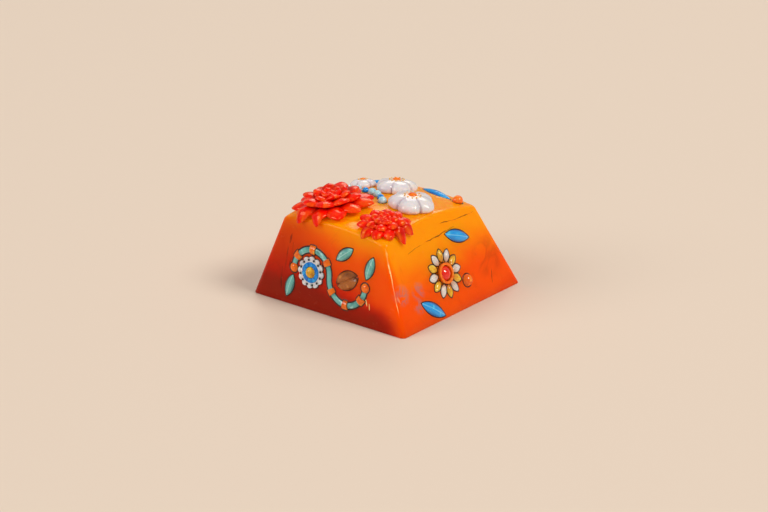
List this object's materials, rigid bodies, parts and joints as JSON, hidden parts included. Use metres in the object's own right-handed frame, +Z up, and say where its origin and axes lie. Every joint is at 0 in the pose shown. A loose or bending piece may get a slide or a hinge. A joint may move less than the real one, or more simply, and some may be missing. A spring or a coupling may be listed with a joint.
{
  "type": "keycap",
  "caption": "Tapered one-unit resin keycap with a crowned top in flower relief, a hollow underside and a cross-socket stem.",
  "frame": {"origin": "middle of the base rim, in the plane the rim rests on", "axes": "+Z up out of the crowned top, -Y out of the steepest wall, which faces the typist's side, +X to the right of that wall"},
  "size_m": [0.018, 0.0181, 0.0106],
  "materials": {
    "amber_resin": "translucent, polished, with a satin hollow",
    "red_resin": "glossy",
    "white_resin": "glossy",
    "orange_resin": "glossy",
    "pale_blue_resin": "glossy",
    "blue_resin": "glossy",
    "teal_resin": "glossy",
    "brown_resin": "glossy",
    "yellow_resin": "glossy",
    "black_resin": "glossy"
  },
  "bodies": {
    "root": {"cap_body": "amber_resin", "large_red_bloom": "red_resin", "small_red_bloom": "red_resin", "large_white_blossom": "white_resin", "middle_white_blossom": "white_resin", "small_white_blossom": "white_resin", "large_blossom_eye": "orange_resin", "middle_blossom_eye": "orange_resin", "small_blossom_eye": "orange_resin", "pale_beads": "pale_blue_resin", "blue_beads": "blue_resin", "amber_bead": "orange_resin", "long_blue_leaf": "blue_resin", "short_blue_leaf": "blue_resin", "vine": "teal_resin", "vine_bands": "orange_resin", "vine_berries": "orange_resin", "brown_pod": "brown_resin", "vine_leaves": "teal_resin", "aster_rim": "white_resin", "aster_ring": "blue_resin", "aster_eye": "yellow_resin", "aster_seeds": "black_resin", "daisy_white_petals": "white_resin", "daisy_yellow_petals": "yellow_resin", "daisy_collar": "orange_resin", "daisy_button": "red_resin", "side_leaves": "blue_resin", "side_bud": "orange_resin"}
  },
  "joints": []
}
